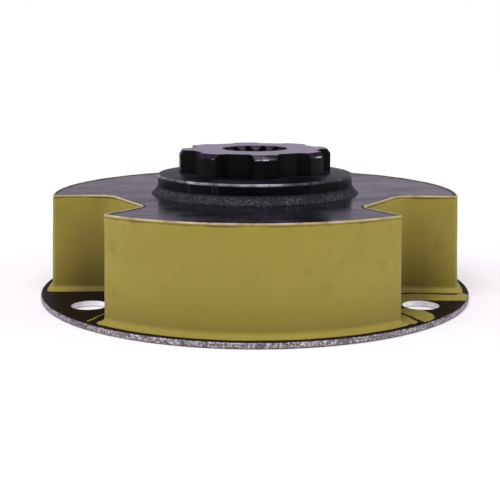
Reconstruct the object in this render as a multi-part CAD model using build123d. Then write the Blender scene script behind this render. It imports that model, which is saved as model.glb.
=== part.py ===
from build123d import *

import math
import os

# Three-lobe rubber flange coupling with a plug-in splined hub.
# Frame: +Z is the shaft axis, z = 0 is the flange face that bolts to the flywheel,
# -Y points close to the middle of one rubber lobe. All sizes are in millimetres.

# Layout
LOBES = 3
HOLE_ANGLES = [-30.0 + 360.0 / LOBES * i for i in range(LOBES)]
LOBE_TURN = -1.0
NOTCH_ANGLES = [angle + LOBE_TURN for angle in HOLE_ANGLES]

# Flange plate
FLANGE_RADIUS = 75.0
FLANGE_THICKNESS = 1.75
FLANGE_OPENING_RADIUS = 30.0
FLANGE_EDGE_BREAK = 0.3
BOLT_CIRCLE_RADIUS = 62.5
BOLT_HOLE_RADIUS = 6.0

# Rubber body: drafted sides, a wide foot on the flange and a thin lip round the hub plate
RUBBER_TOP_Z = 35.3
RUBBER_TOP_RADIUS = 69.9
RUBBER_BASE_RADIUS = 71.1
RUBBER_FOOT_RADIUS = 72.9
RUBBER_FOOT_HEIGHT = 2.2
RUBBER_CAVITY_RADIUS = 37.8
RUBBER_CORNER_ROUND = 1.5

# Notches between the lobes: a flat floor and straight walls that open outwards
NOTCH_FLOOR_RADIUS = 47.9
NOTCH_FLOOR_HALF_WIDTH = 15.0
NOTCH_WALL_ANGLE = 27.0
NOTCH_FLOOR_ROUND = 7.0
NOTCH_FOOT_SHRINK = 2.0

# Hub plate, let into the top of the rubber
PLATE_TOP_Z = 35.0
PLATE_THICKNESS = 3.0
PLATE_LIP = 1.3
PLATE_CORNER_ROUND = 0.8
PLATE_COLLAR_GAP = 0.05

# Socket collar, welded into the hub plate
COLLAR_RADIUS = 33.9
COLLAR_TOP_Z = 42.6
COLLAR_BOTTOM_Z = 17.5
COLLAR_BEVEL_DROP = 0.9
COLLAR_BEVEL_WIDTH = 5.4
COLLAR_EDGE_ROUND = 0.5
SHOULDER_HEIGHT = 3.0
SHOULDER_RADIUS = 19.5

# Weld bead between the collar and the hub plate
WELD_TOE_RADIUS = 36.2
WELD_TOP_Z = 38.0
WELD_HOLLOW = 0.35

# Splined hub: lugs outside, a 13-tooth 16/32 pitch spline inside
LUGS = 8
LUG_FIRST_ANGLE = -90.0 + 7.5
LUG_TIP_RADIUS = 26.4
LUG_ROOT_RADIUS = 22.5
LUG_TIP_HALF_WIDTH = 3.6
LUG_ROOT_HALF_WIDTH = 4.9
LUG_EMBED = 2.0
SOCKET_CLEARANCE = 0.08
HUB_TOP_Z = 50.2
HUB_SEAT_GAP = 0.08
HUB_CHAMFER_DEPTH = 1.2
HUB_CHAMFER_HEIGHT = 1.6
SPLINE_TEETH = 13
SPLINE_PITCH_RADIUS = 10.32
SPLINE_MINOR_RADIUS = 9.53
SPLINE_MAJOR_RADIUS = 11.39
SPLINE_FLANK_ANGLE = 30.0
SPLINE_FIRST_ANGLE = 90.0 - 2.0
BORE_MOUTH_RADIUS = 11.45

# Only the lobes' outer corners lie farther out than this
LOBE_CORNER_REACH = 60.0

# Overshoot, so that cutters pass clean through a face
OVERRUN = 1.0


def disc(radius, bottom, top):
    """Plain cylinder between two heights."""
    height = top - bottom
    return Pos(0, 0, bottom + height / 2) * Cylinder(radius, height)


def taper(bottom_radius, top_radius, bottom, top):
    """Straight-sided frustum between two heights, or a cylinder if it has no draft."""
    if math.isclose(bottom_radius, top_radius):
        return disc(top_radius, bottom, top)
    height = top - bottom
    return Pos(0, 0, bottom + height / 2) * Cone(bottom_radius, top_radius, height)


def turned(shape, angles):
    """Copies of a shape that points along +X, one at each angle."""
    return [Rot(0, 0, angle) * shape for angle in angles]


def notch_cutter(shrink, bottom, top):
    """Prism that opens one notch, pointing along +X, smaller all round by the shrink."""
    lean = math.tan(math.radians(NOTCH_WALL_ANGLE))
    wall_shift = shrink / math.cos(math.radians(NOTCH_WALL_ANGLE))
    floor = NOTCH_FLOOR_RADIUS + shrink
    mouth = FLANGE_RADIUS + OVERRUN
    floor_half = NOTCH_FLOOR_HALF_WIDTH + lean * shrink - wall_shift
    mouth_half = floor_half + lean * (mouth - floor)
    outline = Polygon(
        (floor, -floor_half),
        (mouth, -mouth_half),
        (mouth, mouth_half),
        (floor, floor_half),
        align=None,
    )
    floor_corners = outline.vertices().sort_by(Axis.X)[:2]
    outline = fillet(floor_corners, NOTCH_FLOOR_ROUND - shrink)
    return Pos(0, 0, bottom) * extrude(outline, top - bottom)


def reach(edge):
    """Distance of an edge's middle from the shaft axis."""
    middle = edge.center()
    return math.hypot(middle.X, middle.Y)


def lobed(bottom_radius, top_radius, notch_shrink, bottom, top, corner):
    """Drafted disc with a notch at every notch angle and rounded lobe corners."""
    # Turned so that the seam of the round face falls inside a notch
    body = Rot(0, 0, NOTCH_ANGLES[0]) * taper(bottom_radius, top_radius, bottom, top)
    cutter = notch_cutter(notch_shrink, bottom - OVERRUN, top + OVERRUN)
    for notch in turned(cutter, NOTCH_ANGLES):
        body -= notch
    upright = [edge for edge in body.edges() if edge.bounding_box().size.Z > (top - bottom) / 2]
    return fillet([edge for edge in upright if reach(edge) > LOBE_CORNER_REACH], corner)


def lug_prism(clearance, bottom, top):
    """One lug as a prism along Z, pointing along +X and grown by a clearance."""
    inner = LUG_ROOT_RADIUS - LUG_EMBED
    outer = LUG_TIP_RADIUS + clearance
    slope = (LUG_ROOT_HALF_WIDTH - LUG_TIP_HALF_WIDTH) / (LUG_TIP_RADIUS - LUG_ROOT_RADIUS)
    inner_half = LUG_ROOT_HALF_WIDTH + slope * LUG_EMBED + clearance
    outer_half = LUG_TIP_HALF_WIDTH - slope * clearance + clearance
    outline = Polygon(
        (inner, -inner_half),
        (outer + OVERRUN, -outer_half + slope * OVERRUN),
        (outer + OVERRUN, outer_half - slope * OVERRUN),
        (inner, inner_half),
        align=None,
    )
    prism = Pos(0, 0, bottom) * extrude(outline, top - bottom)
    return prism & disc(outer, bottom, top)


def lug_angles():
    """Angle of every lug about the shaft axis."""
    return [LUG_FIRST_ANGLE + 360.0 / LUGS * i for i in range(LUGS)]


def toothed_core(clearance, bottom, top):
    """The outside of the hub: a core with its ring of lugs."""
    core = disc(LUG_ROOT_RADIUS + clearance, bottom, top)
    for angle in lug_angles():
        core += Rot(0, 0, angle) * lug_prism(clearance, bottom, top)
    return core


def spline_space(bottom, top):
    """One space between two internal spline teeth, pointing along +X."""
    half_pitch_width = math.pi * SPLINE_PITCH_RADIUS / SPLINE_TEETH / 2
    lean = math.tan(math.radians(SPLINE_FLANK_ANGLE))
    inner = SPLINE_MINOR_RADIUS - OVERRUN
    inner_half = half_pitch_width + lean * (SPLINE_PITCH_RADIUS - inner)
    outer_half = half_pitch_width - lean * (SPLINE_MAJOR_RADIUS - SPLINE_PITCH_RADIUS)
    outline = Polygon(
        (inner, -inner_half),
        (SPLINE_MAJOR_RADIUS, -outer_half),
        (SPLINE_MAJOR_RADIUS, outer_half),
        (inner, inner_half),
        align=None,
    )
    return Pos(0, 0, bottom) * extrude(outline, top - bottom)


def make_flange_plate():
    """Thin round flange with three bolt holes and a centre opening."""
    plate = disc(FLANGE_RADIUS, 0, FLANGE_THICKNESS)
    rims = plate.edges().filter_by(GeomType.CIRCLE)
    plate = chamfer(rims, FLANGE_EDGE_BREAK)
    plate -= disc(FLANGE_OPENING_RADIUS, -OVERRUN, FLANGE_THICKNESS + OVERRUN)
    hole = disc(BOLT_HOLE_RADIUS, -OVERRUN, FLANGE_THICKNESS + OVERRUN)
    for cutter in turned(Pos(BOLT_CIRCLE_RADIUS, 0, 0) * hole, HOLE_ANGLES):
        plate -= cutter
    return plate


def plate_outline(bottom, top):
    """The hub plate's lobed outline, set in from the rubber by the lip."""
    return lobed(
        RUBBER_TOP_RADIUS - PLATE_LIP,
        RUBBER_TOP_RADIUS - PLATE_LIP,
        -PLATE_LIP,
        bottom,
        top,
        PLATE_CORNER_ROUND,
    )


def make_rubber_body():
    """Three rubber lobes in one ring, bonded to the flange and round the hub plate."""
    bottom = FLANGE_THICKNESS
    body = lobed(
        RUBBER_BASE_RADIUS,
        RUBBER_TOP_RADIUS,
        0,
        bottom,
        RUBBER_TOP_Z,
        RUBBER_CORNER_ROUND,
    )
    body += lobed(
        RUBBER_FOOT_RADIUS,
        RUBBER_BASE_RADIUS,
        NOTCH_FOOT_SHRINK / 2,
        bottom,
        bottom + RUBBER_FOOT_HEIGHT,
        RUBBER_CORNER_ROUND,
    )
    plate_bottom = PLATE_TOP_Z - PLATE_THICKNESS
    body -= plate_outline(plate_bottom, RUBBER_TOP_Z + OVERRUN)
    body -= disc(RUBBER_CAVITY_RADIUS, bottom - OVERRUN, RUBBER_TOP_Z + OVERRUN)
    return body


def make_hub_plate():
    """Lobed steel plate that carries the collar."""
    plate = plate_outline(PLATE_TOP_Z - PLATE_THICKNESS, PLATE_TOP_Z)
    plate -= disc(COLLAR_RADIUS + PLATE_COLLAR_GAP, 0, PLATE_TOP_Z + OVERRUN)
    return plate


def make_socket_collar():
    """Round collar, its top sloping to the rim, with a slotted socket and a shoulder for the hub."""
    rim = COLLAR_TOP_Z - COLLAR_BEVEL_DROP
    collar = disc(COLLAR_RADIUS, COLLAR_BOTTOM_Z, rim)
    collar += taper(COLLAR_RADIUS, COLLAR_RADIUS - COLLAR_BEVEL_WIDTH, rim, COLLAR_TOP_Z)
    rim_edge = collar.edges().filter_by(GeomType.CIRCLE).sort_by(Axis.Z)[-2]
    collar = fillet(rim_edge, COLLAR_EDGE_ROUND)
    seat = COLLAR_BOTTOM_Z + SHOULDER_HEIGHT
    collar -= toothed_core(SOCKET_CLEARANCE, seat, COLLAR_TOP_Z + OVERRUN)
    collar -= disc(SHOULDER_RADIUS, COLLAR_BOTTOM_Z - OVERRUN, seat + OVERRUN)
    return collar


def make_weld_bead():
    """Fillet weld round the foot of the collar."""
    toe = (WELD_TOE_RADIUS, PLATE_TOP_Z)
    crown = (COLLAR_RADIUS, WELD_TOP_Z)
    middle = (
        (toe[0] + crown[0]) / 2 - WELD_HOLLOW,
        (toe[1] + crown[1]) / 2 - WELD_HOLLOW,
    )
    root = (COLLAR_RADIUS, PLATE_TOP_Z)
    with BuildSketch(Plane.XZ) as section:
        with BuildLine():
            ThreePointArc(toe, middle, crown)
            Line(crown, root)
            Line(root, toe)
        make_face()
    return revolve(section.sketch, Axis.Z)


def make_splined_hub():
    """Plug-in hub: lugs that drive in the collar, internal spline for the shaft."""
    bottom = COLLAR_BOTTOM_Z + SHOULDER_HEIGHT + HUB_SEAT_GAP
    hub = toothed_core(0, bottom, HUB_TOP_Z)
    end_radius = LUG_TIP_RADIUS - HUB_CHAMFER_DEPTH
    low, high = bottom + HUB_CHAMFER_HEIGHT, HUB_TOP_Z - HUB_CHAMFER_HEIGHT
    envelope = disc(LUG_TIP_RADIUS, low, high)
    envelope += taper(end_radius, LUG_TIP_RADIUS, bottom, low)
    envelope += taper(LUG_TIP_RADIUS, end_radius, high, HUB_TOP_Z)
    hub &= envelope
    hub -= disc(SPLINE_MINOR_RADIUS, bottom - OVERRUN, HUB_TOP_Z + OVERRUN)
    space = spline_space(bottom - OVERRUN, HUB_TOP_Z + OVERRUN)
    for i in range(SPLINE_TEETH):
        angle = SPLINE_FIRST_ANGLE + 360.0 / SPLINE_TEETH * (i + 0.5)
        hub -= Rot(0, 0, angle) * space
    lead_in = BORE_MOUTH_RADIUS - SPLINE_MINOR_RADIUS
    hub -= taper(SPLINE_MINOR_RADIUS, BORE_MOUTH_RADIUS, HUB_TOP_Z - lead_in, HUB_TOP_Z)
    hub -= taper(BORE_MOUTH_RADIUS, SPLINE_MINOR_RADIUS, bottom, bottom + lead_in)
    return hub


NODES = {
    "flange_plate": make_flange_plate,
    "rubber_body": make_rubber_body,
    "hub_plate": make_hub_plate,
    "socket_collar": make_socket_collar,
    "collar_weld": make_weld_bead,
    "splined_hub": make_splined_hub,
}

os.makedirs("parts", exist_ok=True)
for name, make in NODES.items():
    export_step(make(), f"parts/{name}.step")
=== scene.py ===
import math

import bmesh
import bpy
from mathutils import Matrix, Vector, noise


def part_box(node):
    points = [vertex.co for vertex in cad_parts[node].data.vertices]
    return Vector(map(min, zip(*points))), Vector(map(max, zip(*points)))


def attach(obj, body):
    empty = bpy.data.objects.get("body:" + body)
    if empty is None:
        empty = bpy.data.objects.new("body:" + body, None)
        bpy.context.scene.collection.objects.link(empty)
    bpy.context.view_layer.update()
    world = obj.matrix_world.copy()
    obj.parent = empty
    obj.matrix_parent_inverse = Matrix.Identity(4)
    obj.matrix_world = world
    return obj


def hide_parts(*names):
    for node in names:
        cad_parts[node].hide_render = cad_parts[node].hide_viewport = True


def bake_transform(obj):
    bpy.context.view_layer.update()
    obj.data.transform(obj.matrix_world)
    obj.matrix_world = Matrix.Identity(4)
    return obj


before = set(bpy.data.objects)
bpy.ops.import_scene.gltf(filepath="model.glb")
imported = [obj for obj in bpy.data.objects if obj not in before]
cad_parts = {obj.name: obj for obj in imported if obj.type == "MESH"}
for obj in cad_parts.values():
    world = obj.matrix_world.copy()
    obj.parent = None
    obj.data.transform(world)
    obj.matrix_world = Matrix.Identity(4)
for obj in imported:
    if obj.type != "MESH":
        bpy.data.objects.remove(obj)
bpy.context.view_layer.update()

# ---------------------------------------------------------------- sizes, in millimetres
MM = 0.001
TAU = 2 * math.pi

# The notches between the rubber lobes: floor distance, half width there, and how the walls lean.
NOTCHES = 3
FIRST_NOTCH = -31
NOTCH_ANGLES = [math.radians(FIRST_NOTCH + 360 / NOTCHES * i) for i in range(NOTCHES)]
NOTCH_FLOOR = 47.9
NOTCH_HALF = 15.0
NOTCH_LEAN = math.radians(27)
NOTCH_ROUND = 7.0

# Points along one lobe's arc, corner, notch wall, floor rounding and half floor.
ARC_POINTS = 110
CORNER_POINTS = 8
WALL_POINTS = 22
FLOOR_ROUND_POINTS = 12
FLOOR_POINTS = 12

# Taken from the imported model, apart from the height of the collar's sharp rim.
FLANGE_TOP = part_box("flange_plate")[1][2] / MM
FLANGE_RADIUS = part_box("flange_plate")[1][0] / MM
RUBBER_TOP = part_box("rubber_body")[1][2] / MM
PLATE_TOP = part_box("hub_plate")[1][2] / MM
PLATE_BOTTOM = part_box("hub_plate")[0][2] / MM
WELD_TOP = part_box("collar_weld")[1][2] / MM
WELD_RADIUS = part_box("collar_weld")[1][0] / MM
COLLAR_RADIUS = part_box("socket_collar")[1][0] / MM
HUB_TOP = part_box("splined_hub")[1][2] / MM
COLLAR_RIM = 41.7
SEAT = 0.01


# ---------------------------------------------------------------- mesh helpers
def add_mesh(name, verts, faces, smooth=True):
    """A mesh object from points in millimetres."""
    mesh = bpy.data.meshes.new(name)
    mesh.from_pydata([(x * MM, y * MM, z * MM) for x, y, z in verts], [], faces)
    mesh.validate()
    bm = bmesh.new()
    bm.from_mesh(mesh)
    bmesh.ops.recalc_face_normals(bm, faces=bm.faces)
    bm.to_mesh(mesh)
    bm.free()
    for polygon in mesh.polygons:
        polygon.use_smooth = smooth
    obj = bpy.data.objects.new(name, mesh)
    bpy.context.scene.collection.objects.link(obj)
    return obj


def ring_of_loops(name, loops):
    """A closed solid skinned through loops of equal length, the last joined to the first."""
    count = len(loops[0])
    verts = [point for loop in loops for point in loop]
    faces = []
    for i in range(len(loops)):
        nxt = (i + 1) % len(loops)
        for j in range(count):
            k = (j + 1) % count
            faces.append((i * count + j, i * count + k, nxt * count + k, nxt * count + j))
    return add_mesh(name, verts, faces)


def corner_between(radius, wall_at, shrink, corner):
    """Centre of the rounding between the round side and a notch wall, in the notch's own frame."""
    slope = math.tan(NOTCH_LEAN)
    lift = wall_at - slope * NOTCH_FLOOR + (corner - shrink) / math.cos(NOTCH_LEAN)
    reach = radius - corner
    a = 1 + slope ** 2
    b = 2 * lift * slope
    c = lift ** 2 - reach ** 2
    u = (-b + math.sqrt(b * b - 4 * a * c)) / (2 * a)
    return u, lift + slope * u


def half_notch(radius, shrink, corner):
    """Points from the round side down one wall to the middle of the floor: (along, across)."""
    slope = math.tan(NOTCH_LEAN)
    normal = (-math.sin(NOTCH_LEAN), math.cos(NOTCH_LEAN))
    fu, fw = corner_between(radius, NOTCH_HALF, shrink, corner)
    start = math.atan2(fw, fu)
    stop = math.atan2(-normal[1], -normal[0])
    points = []
    for i in range(CORNER_POINTS):
        a = start + (stop - start) * i / CORNER_POINTS
        points.append((fu + corner * math.cos(a), fw + corner * math.sin(a)))
    wall_u, wall_w = fu - corner * normal[0], fw - corner * normal[1]
    floor_round = NOTCH_ROUND - shrink
    gu = NOTCH_FLOOR + shrink + floor_round
    lift = NOTCH_HALF - slope * NOTCH_FLOOR - shrink / math.cos(NOTCH_LEAN)
    gw = lift + slope * gu - floor_round / math.cos(NOTCH_LEAN)
    end_u, end_w = gu + floor_round * normal[0], gw + floor_round * normal[1]
    for i in range(WALL_POINTS):
        t = i / WALL_POINTS
        points.append((wall_u + (end_u - wall_u) * t, wall_w + (end_w - wall_w) * t))
    start, stop = math.atan2(normal[1], normal[0]), math.pi
    for i in range(FLOOR_ROUND_POINTS):
        a = start + (stop - start) * i / FLOOR_ROUND_POINTS
        points.append((gu + floor_round * math.cos(a), gw + floor_round * math.sin(a)))
    for i in range(FLOOR_POINTS):
        points.append((gu - floor_round, gw * (1 - i / FLOOR_POINTS)))
    return points


def lobed_outline(radius, shrink, corner):
    """Closed three-lobe outline, anticlockwise. Shrink makes the notches smaller all round."""
    half = half_notch(radius, shrink, corner)
    edge = math.atan2(half[0][1], half[0][0])
    inward = [(u, -w) for u, w in half]
    outward = [(half[-1][0], 0.0)] + half[:0:-1]
    points = []
    for here in NOTCH_ANGLES:
        start, stop = here - TAU / NOTCHES + edge, here - edge
        for i in range(ARC_POINTS):
            a = start + (stop - start) * i / ARC_POINTS
            points.append((radius * math.cos(a), radius * math.sin(a)))
        cos, sin = math.cos(here), math.sin(here)
        for u, w in inward + outward:
            points.append((u * cos - w * sin, u * sin + w * cos))
    return points


# ---------------------------------------------------------------- rubber body
BASE_RADIUS = 71.1
TOP_RADIUS = 69.9
CORNER = 1.5
FOOT_OUT = 1.8
FOOT_HEIGHT = 2.2
FOOT_STEPS = 9
TOE = 0.3
WALL_STEPS = 26
WALL_END = 1.5
CAVITY_RADIUS = 37.8
LIP_REACH = 0.75
INNER_OUT = -1.2
FOOT_NOTCH_GAIN = 1.15

# The lip, from the groove below it over the crest and down inside: (below the top, outwards).
LIP = [
    (1.35, -0.02), (1.2, -0.08), (1.08, -0.2), (0.98, -0.22), (0.88, -0.1), (0.78, 0.0),
    (0.55, 0.05), (0.34, 0.05), (0.16, -0.02), (0.05, -0.14), (0.0, -0.28), (0.03, -0.44),
    (0.12, -0.56), (0.28, -0.64), (0.40, -0.8), (0.42, -1.0), (0.40, -1.26),
]


def rubber_rows():
    """Heights and outward offsets of the rubber's skin, from the toe up and over the lip."""
    rows = [
        (FLANGE_TOP + SEAT, FOOT_OUT - 0.05),
        (FLANGE_TOP + TOE * 0.6, FOOT_OUT),
        (FLANGE_TOP + TOE, FOOT_OUT - 0.08),
    ]
    for i in range(1, FOOT_STEPS + 1):
        t = i / FOOT_STEPS
        out = FOOT_OUT * (1 - math.sqrt(1 - (1 - t) ** 2)) * 0.95
        rows.append((FLANGE_TOP + TOE + (FOOT_HEIGHT - TOE) * t, out))
    low, high = FLANGE_TOP + FOOT_HEIGHT, RUBBER_TOP - WALL_END
    for i in range(1, WALL_STEPS + 1):
        rows.append((low + (high - low) * i / WALL_STEPS, 0.0))
    rows += [(RUBBER_TOP - down, out) for down, out in LIP]
    rows.append((PLATE_BOTTOM - 0.02, -1.27))
    return rows


def make_rubber():
    """The lobed rubber body, with slightly wavy walls and a point attribute that marks the lip's inside
    for painted shade.
    """
    loops = []
    insets = []
    span = RUBBER_TOP - FLANGE_TOP
    for index, (z, out) in enumerate(rubber_rows()):
        t = (z - FLANGE_TOP) / span
        radius = BASE_RADIUS + (TOP_RADIUS - BASE_RADIUS) * t + out
        shrink = out * (FOOT_NOTCH_GAIN if out > 0.2 else 1.0)
        corner = max(0.5, CORNER + min(out, 0.8))
        loop = []
        in_lip = z > RUBBER_TOP - LIP_REACH and out > INNER_OUT
        for x, y in lobed_outline(radius, shrink, corner):
            d = math.hypot(x, y)
            wave = noise.noise(Vector((x * 0.05, y * 0.05, z * 0.06))) * 0.12
            if in_lip:
                wave += noise.noise(Vector((x * 0.3 + 9, y * 0.3, 2.0))) * 0.10
            if z < FLANGE_TOP + 1.0:
                wave += noise.noise(Vector((x * 0.12 + 31, y * 0.12, 1.0))) * 0.25
            if out <= INNER_OUT:
                wave = 0.0
            scale = (d + wave) / d
            rise = 0.0
            if in_lip:
                rise = noise.noise(Vector((x * 0.11, y * 0.11, 7.0))) * 0.06 - 0.05
            loop.append((x * scale, y * scale, z + rise))
        loops.append(loop)
        insets += [-out] * len(loop)
    under = [(x, y) for x, y, _ in loops[-1]]
    for z in (PLATE_BOTTOM - 0.02, (PLATE_BOTTOM + FLANGE_TOP) / 2, FLANGE_TOP + SEAT):
        loop = []
        for x, y in under:
            d = math.hypot(x, y)
            loop.append((x / d * CAVITY_RADIUS, y / d * CAVITY_RADIUS, z))
        loops.append(loop)
        insets += [0.0] * len(loop)
    body = ring_of_loops("elastomer_body", loops)
    body.data.attributes.new("inset", "FLOAT", "POINT").data.foreach_set("value", insets)
    return body


# ---------------------------------------------------------------- weld bead
WELD_POINTS = 720
WELD_RIPPLES = 66
WELD_SECTION = 12
WELD_ROOT = [
    (COLLAR_RADIUS - 0.05, WELD_TOP),
    (COLLAR_RADIUS - 0.05, PLATE_TOP - 0.03),
    (WELD_RADIUS - 0.5, PLATE_TOP - 0.03),
]


def make_weld():
    """Hollow fillet bead with overlapping ripples and a grainy skin."""
    loops = []
    for i in range(WELD_SECTION + 1):
        t = i / WELD_SECTION
        base_r = WELD_RADIUS + (COLLAR_RADIUS - WELD_RADIUS) * t
        base_z = PLATE_TOP + (WELD_TOP - PLATE_TOP) * t
        bulge = math.sin(math.pi * t)
        loop = []
        for j in range(WELD_POINTS):
            a = TAU * j / WELD_POINTS
            x, y = math.cos(a), math.sin(a)
            drift = noise.noise(Vector((x * 4, y * 4, 1))) * 0.35
            phase = (a / TAU * WELD_RIPPLES + 0.35 * bulge + drift) % 1.0
            ripple = abs(phase - 0.5) * 2
            grain = noise.noise(Vector((x * 45, y * 45, t * 6))) * 0.12
            out = bulge * (0.16 * ripple - 0.42 + grain)
            toe = noise.noise(Vector((x * 7, y * 7, 3))) * 0.35 * (1 - t)
            r = base_r + out * 0.62 + min(toe, 0.0)
            z = base_z + (out * 0.78 if 0 < i < WELD_SECTION else 0)
            loop.append((r * x, r * y, min(z, WELD_TOP)))
        loops.append(loop)
    for r, z in WELD_ROOT:
        turns = [TAU * j / WELD_POINTS for j in range(WELD_POINTS)]
        loops.append([(r * math.cos(a), r * math.sin(a), z) for a in turns])
    return ring_of_loops("weld_bead", loops)


# ---------------------------------------------------------------- moulding flash on the flange
FLASH_THICKNESS = 0.22
FLASH_STEP = 0.6
FLASH_RAGGED = 0.35
FIRST_SEED = 11.0
FLASH_LEVELS = [
    (1.0, FLANGE_TOP + SEAT),
    (1.0, FLANGE_TOP + FLASH_THICKNESS * 0.6),
    (0.97, FLANGE_TOP + FLASH_THICKNESS),
]

# Outlines on the flange, seen from above.
FLASHES = {
    "flash_skin_rear": [
        (46.4, -17.6), (50.5, -16.6), (56.7, -15.9), (63.3, -17.2), (68.4, -17.6), (71.4, -15.2),
        (72.6, -17.8), (70.2, -25.3), (60.4, -25.3), (57.2, -24.7), (53.4, -24.9), (50.2, -26.6),
        (48.3, -29.2), (47.6, -32.4), (47.0, -35.4), (45.0, -35.8), (44.2, -30.0), (45.0, -22.0),
    ],
    "flash_skin_front": [
        (44.9, -36.6), (47.0, -36.2), (48.6, -35.4), (50.4, -36.9), (53.8, -38.6), (55.9, -43.4),
        (56.0, -46.6), (54.2, -50.0), (51.6, -52.6), (49.9, -48.8), (48.1, -44.8), (46.4, -41.4),
    ],
    "flash_skin_toe": [
        (43.0, -41.0), (45.4, -41.8), (47.0, -45.4), (48.7, -49.6), (49.6, -52.4),
        (48.6, -54.4), (46.2, -55.0), (43.4, -50.6), (40.6, -46.0), (40.0, -42.6),
    ],
    "flash_strip_left": [
        (-51.8, -51.7), (-50.6, -49.4), (-49.6, -46.6), (-48.6, -44.6), (-47.9, -42.8),
        (-47.5, -43.0), (-48.2, -44.9), (-49.1, -46.9), (-49.9, -49.6), (-51.1, -52.1),
    ],
}


def flash_sheet(name, outline, seed):
    """A thin skin of squeezed-out rubber lying on the flange, with a ragged edge."""
    dense = []
    for i, (x0, y0) in enumerate(outline):
        x1, y1 = outline[(i + 1) % len(outline)]
        steps = max(2, int(math.hypot(x1 - x0, y1 - y0) / FLASH_STEP))
        for k in range(steps):
            x = x0 + (x1 - x0) * k / steps
            y = y0 + (y1 - y0) * k / steps
            dx = noise.noise(Vector((x * 0.7, y * 0.7, seed))) * FLASH_RAGGED
            dy = noise.noise(Vector((x * 0.7, y * 0.7, seed + 5))) * FLASH_RAGGED
            dense.append((x + dx, y + dy))
    cx = sum(p[0] for p in dense) / len(dense)
    cy = sum(p[1] for p in dense) / len(dense)
    n = len(dense)
    verts = []
    for scale, z in FLASH_LEVELS:
        verts += [(cx + (x - cx) * scale, cy + (y - cy) * scale, z) for x, y in dense]
    faces = []
    top = len(FLASH_LEVELS) - 1
    for level in range(top):
        for j in range(n):
            k = (j + 1) % n
            faces.append((level * n + j, level * n + k, (level + 1) * n + k, (level + 1) * n + j))
    faces.append(tuple(range(n)))
    faces.append(tuple(top * n + j for j in range(n)))
    return add_mesh(name, verts, faces, smooth=False)


# ---------------------------------------------------------------- node helpers
class Nodes:
    """Short way to write a node material."""

    def __init__(self, name):
        self.material = bpy.data.materials.new(name)
        self.material.use_nodes = True
        self.tree = self.material.node_tree
        self.tree.nodes.clear()
        self.out = self.tree.nodes.new("ShaderNodeOutputMaterial")
        self.shader = self.tree.nodes.new("ShaderNodeBsdfPrincipled")
        self.tree.links.new(self.shader.outputs[0], self.out.inputs[0])
        coord = self.tree.nodes.new("ShaderNodeTexCoord")
        self.place = coord.outputs["Object"]

    def link(self, source, target):
        self.tree.links.new(source, target)

    def noise(self, scale, detail=4.0, rough=0.55, vector=None, distortion=0.0):
        node = self.tree.nodes.new("ShaderNodeTexNoise")
        node.inputs["Scale"].default_value = scale
        node.inputs["Detail"].default_value = detail
        node.inputs["Roughness"].default_value = rough
        node.inputs["Distortion"].default_value = distortion
        self.link(vector or self.place, node.inputs["Vector"])
        return node.outputs["Fac"]

    def cells(self, scale):
        node = self.tree.nodes.new("ShaderNodeTexVoronoi")
        node.inputs["Scale"].default_value = scale
        self.link(self.place, node.inputs["Vector"])
        return node.outputs["Distance"]

    def stretch(self, x, y, z):
        node = self.tree.nodes.new("ShaderNodeMapping")
        node.inputs["Scale"].default_value = (x, y, z)
        self.link(self.place, node.inputs["Vector"])
        return node.outputs[0]

    def ramp(self, source, stops):
        """Colours blended between stops, each a position and a colour."""
        node = self.tree.nodes.new("ShaderNodeValToRGB")
        elements = node.color_ramp.elements
        while len(elements) < len(stops):
            elements.new(0.5)
        for element, (position, colour) in zip(elements, stops):
            element.position = position
            element.color = (*colour, 1)
        self.link(source, node.inputs[0])
        return node.outputs[0]

    def span(self, source, low, high, to_low=0.0, to_high=1.0):
        node = self.tree.nodes.new("ShaderNodeMapRange")
        node.inputs["From Min"].default_value = low
        node.inputs["From Max"].default_value = high
        node.inputs["To Min"].default_value = to_low
        node.inputs["To Max"].default_value = to_high
        node.clamp = True
        self.link(source, node.inputs["Value"])
        return node.outputs[0]

    def math(self, kind, a, b=None):
        node = self.tree.nodes.new("ShaderNodeMath")
        node.operation = kind
        for slot, value in ((0, a), (1, b)):
            if value is None:
                continue
            if isinstance(value, (int, float)):
                node.inputs[slot].default_value = value
            else:
                self.link(value, node.inputs[slot])
        return node.outputs[0]

    def both(self, a, b):
        return self.math("MULTIPLY", a, b)

    def mix(self, factor, a, b):
        node = self.tree.nodes.new("ShaderNodeMix")
        node.data_type = "RGBA"
        for socket, value in ((0, factor), (6, a), (7, b)):
            if isinstance(value, (int, float)):
                node.inputs[socket].default_value = value
            elif isinstance(value, tuple):
                node.inputs[socket].default_value = (*value, 1)
            else:
                self.link(value, node.inputs[socket])
        return node.outputs[2]

    def attribute(self, name):
        node = self.tree.nodes.new("ShaderNodeAttribute")
        node.attribute_name = name
        return node.outputs["Fac"]

    def axes(self):
        node = self.tree.nodes.new("ShaderNodeSeparateXYZ")
        self.link(self.place, node.inputs[0])
        return node.outputs[0], node.outputs[1], node.outputs[2]

    def radius(self):
        x, y, _ = self.axes()
        return self.math("SQRT", self.math("ADD", self.both(x, x), self.both(y, y)))

    def facing_up(self):
        node = self.tree.nodes.new("ShaderNodeNewGeometry")
        split = self.tree.nodes.new("ShaderNodeSeparateXYZ")
        self.link(node.outputs["Normal"], split.inputs[0])
        return split.outputs[2]

    def bump(self, height, strength, distance, below=None):
        node = self.tree.nodes.new("ShaderNodeBump")
        node.inputs["Strength"].default_value = strength
        node.inputs["Distance"].default_value = distance
        self.link(height, node.inputs["Height"])
        if below is not None:
            self.link(below, node.inputs["Normal"])
        return node.outputs[0]

    def set(self, **values):
        for key, value in values.items():
            socket = self.shader.inputs[key.replace("_", " ")]
            if isinstance(value, (int, float, tuple)):
                socket.default_value = value
            else:
                self.link(value, socket)


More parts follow.
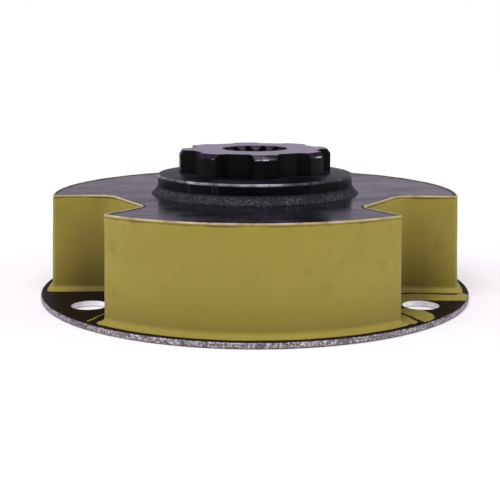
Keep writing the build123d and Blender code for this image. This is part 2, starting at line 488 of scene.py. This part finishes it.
# ---------------------------------------------------------------- materials, lengths in metres
OLIVE_LOW, OLIVE_HIGH = (0.256, 0.206, 0.027), (0.294, 0.242, 0.036)
OLIVE_CLOUD = (0.225, 0.175, 0.024)
OLIVE_SMUDGE = (0.185, 0.142, 0.022)
OLIVE_SPECK = (0.10, 0.07, 0.016)
OLIVE_LOW_PAINTED_SHADE = (0.150, 0.120, 0.012)
OLIVE_NOTCH_PAINTED_SHADE = (0.088, 0.064, 0.007)
GROOVE_PAINTED_SHADE = (0.085, 0.06, 0.016)
LIP_BEIGE = [(0.36, (0.24, 0.18, 0.10)), (0.54, (0.44, 0.36, 0.235)), (0.72, (0.56, 0.49, 0.36))]
LIP_INSIDE_PAINTED_SHADE = (0.022, 0.016, 0.010)
SCRATCH_GREY = (0.20, 0.19, 0.21)
PAINT_SHINE = (0.95, 0.84, 1.0, 1.0)
RIM_STEEL = [(0.36, (0.045, 0.040, 0.042)), (0.50, (0.22, 0.195, 0.21)), (0.64, (0.74, 0.70, 0.73))]
RIM_DIRT = (0.045, 0.04, 0.04)
HOLE_STEEL = [(0.35, (0.62, 0.61, 0.63)), (0.65, (0.86, 0.86, 0.88))]
COLLAR_TOP_PAINTED_REFLECTION = [(0.42, (0.0030, 0.0027, 0.0042)), (0.68, (0.021, 0.019, 0.027))]
COLLAR_EDGE_HIGHLIGHT = (0.46, 0.45, 0.49)
WELD_GREY = [(0.36, (0.005, 0.005, 0.007)), (0.52, (0.024, 0.023, 0.029)), (0.66, (0.15, 0.145, 0.165))]
WELD_PATCH = (0.012, 0.012, 0.015)
WELD_EDGES = (0.006, 0.006, 0.008)
HUB_TURNED = [(0.3, (0.27, 0.24, 0.31)), (0.55, (0.35, 0.315, 0.39)), (0.75, (0.45, 0.41, 0.49))]
HUB_STAIN = (0.225, 0.195, 0.26)
HUB_SIDE = [(0.35, (0.0016, 0.0016, 0.0018)), (0.65, (0.0050, 0.0042, 0.0044))]
HUB_BEVEL = [(0.42, (0.006, 0.005, 0.008)), (0.60, (0.020, 0.014, 0.024))]
HUB_FRONT_PAINTED_REFLECTION = [(0.38, (0.038, 0.029, 0.046)), (0.62, (0.112, 0.092, 0.126))]
HUB_GLINT = (0.62, 0.58, 0.64)
CREST_STEEL = [(0.35, (0.020, 0.015, 0.023)), (0.65, (0.062, 0.050, 0.070))]
CREST_SIDE_PAINTED_SHADE = (0.006, 0.004, 0.007)
BORE_DARK = (0.0035, 0.0025, 0.0045)
TURNING_WAVES = 16000.0


def rubber_material():
    """Olive elastomer: cloudy and smudged, with painted shade low down, in the notches, in the groove
    under the lip and on the lip's inside, and a beige lip.
    """
    m = Nodes("elastomer_olive")
    _, _, z = m.axes()
    r = m.radius()
    broad = m.noise(16, 3, 0.5)
    cloud = m.noise(90, 5, 0.6)
    fine = m.noise(900, 3, 0.6)
    base = m.ramp(broad, [(0.3, OLIVE_LOW), (0.7, OLIVE_HIGH)])
    base = m.mix(m.span(cloud, 0.45, 0.65, 0.0, 0.22), base, OLIVE_CLOUD)
    smudge = m.span(m.noise(150, 4, 0.7), 0.52, 0.66, 0.0, 0.55)
    base = m.mix(m.both(smudge, m.span(m.noise(26, 2), 0.50, 0.62)), base, OLIVE_SMUDGE)
    specks = m.span(m.cells(260), 0.02, 0.10, 0.6, 0.0)
    gate = m.span(m.noise(60, 2), 0.58, 0.66)
    base = m.mix(m.both(specks, gate), base, OLIVE_SPECK)
    # Painted shade: the rubber is darkened towards the flange, low down on every lobe.
    shade = m.both(m.span(z, 0.0045, 0.018, 0.46, 0.0), m.span(z, 0.0028, 0.0042))
    base = m.mix(shade, base, OLIVE_LOW_PAINTED_SHADE)
    # Painted shade: low in the notches the rubber is darkened further, most towards the flange.
    notch_shade = m.both(m.span(z, 0.004, 0.031, 0.75, 0.0), m.span(r, 0.0600, 0.0685, 1.0, 0.0))
    base = m.mix(notch_shade, base, OLIVE_NOTCH_PAINTED_SHADE)
    # Painted shade: a patchy dark brown band in the groove under the lip.
    groove = m.both(m.span(z, 0.03395, 0.0341), m.span(z, 0.0343, 0.03450, 1.0, 0.0))
    base = m.mix(m.both(groove, m.span(cloud, 0.44, 0.60, 0.05, 0.9)), base, GROOVE_PAINTED_SHADE)
    lip = m.ramp(m.noise(170, 5, 0.7), LIP_BEIGE)
    base = m.mix(m.span(z, 0.03470, 0.03488), base, lip)
    # Painted shade: the inside of the lip, marked by the inset attribute, is painted near-black.
    base = m.mix(m.span(m.attribute("inset"), 0.50, 0.62), base, LIP_INSIDE_PAINTED_SHADE)
    m.set(Base_Color=base, Specular_IOR_Level=0.25, Sheen_Weight=0.10, Sheen_Roughness=0.35)
    m.set(Roughness=m.span(cloud, 0.3, 0.7, 0.42, 0.6))
    normal = m.bump(fine, 0.12, 0.0004)
    m.set(Normal=m.bump(cloud, 0.18, 0.0012, normal))
    return m.material


def black_paint(name, tint, smeared, specular, rough, scratch, ripple=0.10):
    """Thin black paint with smears left by wiping, and scratches. Returns its nodes and its colour."""
    m = Nodes(name)
    smear = m.noise(1.0, 6, 0.62, m.stretch(38, 75, 38), distortion=1.0)
    streak = m.noise(1.0, 5, 0.6, m.stretch(60, 420, 60))
    fine = m.noise(700, 3, 0.6)
    base = m.mix(m.span(smear, 0.46, 0.72), tint, smeared)
    base = m.mix(m.both(m.span(streak, 0.60, 0.72), scratch), base, SCRATCH_GREY)
    m.set(Base_Color=base, Specular_IOR_Level=specular, Specular_Tint=PAINT_SHINE)
    m.set(Roughness=m.span(smear, 0.3, 0.75, *rough))
    normal = m.bump(fine, 0.08, 0.0003)
    m.set(Normal=m.bump(smear, ripple, 0.0015, normal))
    return m, base


def flange_material():
    """Dark coat with a bare, speckled rim and bare walls in the bolt holes."""
    tint, smeared = (0.0060, 0.0034, 0.0028), (0.0130, 0.0080, 0.0064)
    m, paint = black_paint("flange_coated", tint, smeared, 0.06, (0.4, 0.62), 0.05)
    r = m.radius()
    grit = m.noise(1500, 4, 0.8)
    patch = m.noise(260, 4, 0.6)
    steel = m.mix(m.span(patch, 0.52, 0.66, 0.0, 0.6), m.ramp(grit, RIM_STEEL), RIM_DIRT)
    ragged = m.math("ADD", r, m.span(patch, 0.3, 0.7, -0.00012, 0.00012))
    rim = m.span(ragged, 0.07462, 0.07480)
    upright = m.span(m.math("ABSOLUTE", m.facing_up()), 0.3, 0.6, 1.0, 0.0)
    wall = m.both(upright, m.span(r, 0.0725, 0.0730, 1.0, 0.0))
    bare = m.ramp(patch, HOLE_STEEL)
    m.set(Base_Color=m.mix(wall, m.mix(rim, paint, steel), bare))
    m.set(Metallic=m.span(rim, 0.0, 1.0, 0.0, 0.5))
    return m.material


def collar_material():
    """Dark coat with a painted reflection streaked over its top and a broken painted highlight just
    under the rim.
    """
    tint, smeared = (0.0018, 0.0017, 0.0028), (0.007, 0.006, 0.009)
    m, paint = black_paint("collar_coated", tint, smeared, 0.05, (0.22, 0.4), 0.10)
    _, _, z = m.axes()
    rim = COLLAR_RIM * MM
    # Painted reflection: faces that look up are painted a streaky lighter lilac-grey.
    streaked = m.ramp(m.noise(1.0, 6, 0.65, m.stretch(55, 110, 55), distortion=1.0), COLLAR_TOP_PAINTED_REFLECTION)
    paint = m.mix(m.span(m.facing_up(), 0.75, 0.95), paint, streaked)
    # Painted highlight: a thin, broken bright band round the collar just under its rim.
    below = m.span(z, rim - 0.00085, rim - 0.0005)
    edge_highlight = m.both(below, m.span(z, rim - 0.00002, rim + 0.0001, 1.0, 0.0))
    long_gaps = m.span(m.noise(38, 3, 0.6), 0.42, 0.60, 0.10, 1.0)
    broken = m.both(long_gaps, m.span(m.noise(260, 4, 0.7), 0.36, 0.56, 0.2, 1.0))
    m.set(Base_Color=m.mix(m.both(edge_highlight, broken), paint, COLLAR_EDGE_HIGHLIGHT))
    return m.material


def plate_material():
    """Glossy dark coat whose shine has partly been taken off by wiping."""
    tint, smeared = (0.0012, 0.0011, 0.0046), (0.0115, 0.0085, 0.0165)
    m, _ = black_paint("plate_coated", tint, smeared, 0.5, (0.10, 0.36), 0.14, ripple=0.14)
    streaked = m.noise(1.0, 5, 0.66, m.stretch(30, 85, 30), distortion=1.4)
    m.set(Specular_IOR_Level=m.span(streaked, 0.44, 0.62, 0.52, 0.30))
    return m.material


def weld_material():
    """Grainy grey bead, dark along its two edges."""
    m = Nodes("weld_grain")
    grit = m.noise(1300, 4, 0.8)
    patch = m.noise(200, 4, 0.6)
    _, _, z = m.axes()
    base = m.mix(m.span(patch, 0.42, 0.62, 0.0, 0.75), m.ramp(grit, WELD_GREY), WELD_PATCH)
    low = m.span(z, 0.0351, 0.0356, 0.6, 0.0)
    high = m.span(z, 0.0372, 0.0378, 0.0, 0.9)
    base = m.mix(m.math("MAXIMUM", low, high), base, WELD_EDGES)
    m.set(Base_Color=base, Metallic=0.15, Specular_IOR_Level=0.15)
    m.set(Roughness=m.span(grit, 0.3, 0.7, 0.45, 0.75))
    m.set(Normal=m.bump(grit, 0.5, 0.0005))
    return m.material


def hub_material():
    """Turned lilac-grey top, near-black sides, dark chamfers with a painted reflection and glint, and
    lighter spline crests with painted shade to the sides.
    """
    m = Nodes("hub_machined")
    x, y, z = m.axes()
    r = m.radius()
    up = m.facing_up()
    top = HUB_TOP * MM
    grit = m.noise(1100, 4, 0.65)
    patch = m.noise(70, 4, 0.6)
    turned = m.math("SINE", m.both(r, TURNING_WAVES))
    steel = m.mix(m.span(patch, 0.4, 0.7, 0.0, 0.45), m.ramp(grit, HUB_TURNED), HUB_STAIN)
    side = m.ramp(patch, HUB_SIDE)

    # Chamfers of the lugs, with a painted reflection on the front one and a broken painted glint along
    # their foot.
    bevel = m.ramp(m.noise(160, 5, 0.7), HUB_BEVEL)
    front_reflection = m.ramp(m.noise(420, 4, 0.7), HUB_FRONT_PAINTED_REFLECTION)
    bevel = m.mix(m.span(y, -0.0257, -0.0250, 1.0, 0.0), bevel, front_reflection)
    slope = m.both(m.span(up, 0.30, 0.45), m.span(z, top - 0.0017, top - 0.0016))
    # Painted glint: a broken bright band along the foot of the chamfers.
    above = m.span(z, top - 0.00185, top - 0.00165)
    glint = m.both(above, m.span(z, top - 0.00150, top - 0.00130, 1.0, 0.0))
    glint = m.both(glint, m.span(r, 0.0258, 0.0261))
    glint = m.both(glint, m.span(m.noise(95, 4, 0.7), 0.50, 0.58))
    side = m.mix(m.both(slope, m.span(r, 0.0125, 0.0130)), side, bevel)
    side = m.mix(glint, side, HUB_GLINT)

    # Inside the bore the crests carry painted light: lighter in the middle, painted shade towards the
    # sides.
    crest = m.ramp(grit, CREST_STEEL)
    crest = m.mix(m.span(m.math("ABSOLUTE", x), 0.0050, 0.0070, 0.0, 0.85), crest, CREST_SIDE_PAINTED_SHADE)
    bore = m.mix(slope, BORE_DARK, crest)
    side = m.mix(m.span(r, 0.0118, 0.0122, 1.0, 0.0), side, bore)

    bare = m.both(m.span(up, 0.85, 0.95), m.span(z, top - 0.0003, top - 0.0001))
    m.set(Base_Color=m.mix(bare, side, steel), Specular_IOR_Level=0.06)
    m.set(Metallic=m.span(bare, 0.0, 1.0, 0.0, 0.6))
    m.set(Roughness=m.span(grit, 0.3, 0.7, 0.34, 0.5))
    normal = m.bump(turned, 0.05, 0.0001)
    m.set(Normal=m.bump(grit, 0.12, 0.0003, normal))
    return m.material


# ---------------------------------------------------------------- assemble
def paint(obj, material):
    """Puts one material on every slot of an object."""
    if not obj.data.materials:
        obj.data.materials.append(material)
    for index in range(len(obj.data.materials)):
        obj.data.materials[index] = material


olive = rubber_material()
rubber = make_rubber()
paint(rubber, olive)
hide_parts("rubber_body")
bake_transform(rubber)

weld = make_weld()
paint(weld, weld_material())
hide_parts("collar_weld")
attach(weld, "hub_side")

for seed, (name, outline) in enumerate(FLASHES.items()):
    flash = flash_sheet(name, outline, FIRST_SEED + seed * 3)
    paint(flash, olive)
    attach(flash, "flange_side")

paint(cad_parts["flange_plate"], flange_material())
paint(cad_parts["hub_plate"], plate_material())
paint(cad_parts["socket_collar"], collar_material())
paint(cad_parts["splined_hub"], hub_material())

# ---------------------------------------------------------------- floor, lights, camera
FLOOR_HALF = 40.0
FLOOR_Z = -0.0002
CORNERS = [(-1, -1), (1, -1), (1, 1), (-1, 1)]
floor_mesh = bpy.data.meshes.new("floor")
floor_points = [(x * FLOOR_HALF, y * FLOOR_HALF, FLOOR_Z) for x, y in CORNERS]
floor_mesh.from_pydata(floor_points, [], [(0, 1, 2, 3)])
floor = bpy.data.objects.new("floor", floor_mesh)
bpy.context.scene.collection.objects.link(floor)
pale = Nodes("floor_pale")
pale_tone = pale.ramp(pale.noise(3.0, 2), [(0.3, (0.92, 0.92, 0.92)), (0.7, (0.94, 0.94, 0.94))])
pale.set(Base_Color=pale_tone, Roughness=0.95, Specular_IOR_Level=0.05)
paint(floor, pale.material)

# The backdrop is white to the camera and a dimmer, cooler grey as a source of light.
world = bpy.data.worlds.new("studio")
bpy.context.scene.world = world
world.use_nodes = True
tree = world.node_tree
background = tree.nodes["Background"]
seen = tree.nodes.new("ShaderNodeLightPath")
sky = tree.nodes.new("ShaderNodeMix")
sky.data_type = "RGBA"
sky.inputs[6].default_value = (0.45, 0.41, 0.48, 1)
sky.inputs[7].default_value = (1, 1, 1, 1)
tree.links.new(seen.outputs["Is Camera Ray"], sky.inputs[0])
tree.links.new(sky.outputs[2], background.inputs[0])


def soft_sun(name, toward, strength, spread):
    """Even light from a direction, as soft as its spread in degrees."""
    data = bpy.data.lights.new(name, "SUN")
    data.energy = strength
    data.angle = math.radians(spread)
    light = bpy.data.objects.new(name, data)
    light.rotation_euler = Vector(toward).to_track_quat("-Z", "Y").to_euler()
    bpy.context.scene.collection.objects.link(light)


soft_sun("key", (0.10, 0.50, -1.0), 1.95, 60)
soft_sun("left", (1.0, 0.20, -0.30), 1.0, 50)
soft_sun("right", (-1.0, 0.20, -0.30), 0.85, 50)

# The camera is placed in flange radii and looks down by its tilt.
RADIUS = FLANGE_RADIUS * MM
CAMERA_TILT = 11
camera_data = bpy.data.cameras.new("camera")
camera_data.sensor_width = 36.0
camera_data.lens = 70.39
camera = bpy.data.objects.new("camera", camera_data)
camera.location = (-0.0226 * RADIUS, -4.5556 * RADIUS, 1.0731 * RADIUS)
camera.rotation_euler = (math.radians(90 - CAMERA_TILT), 0, 0)
bpy.context.scene.collection.objects.link(camera)
bpy.context.scene.camera = camera
bpy.context.scene.view_settings.view_transform = "Standard"
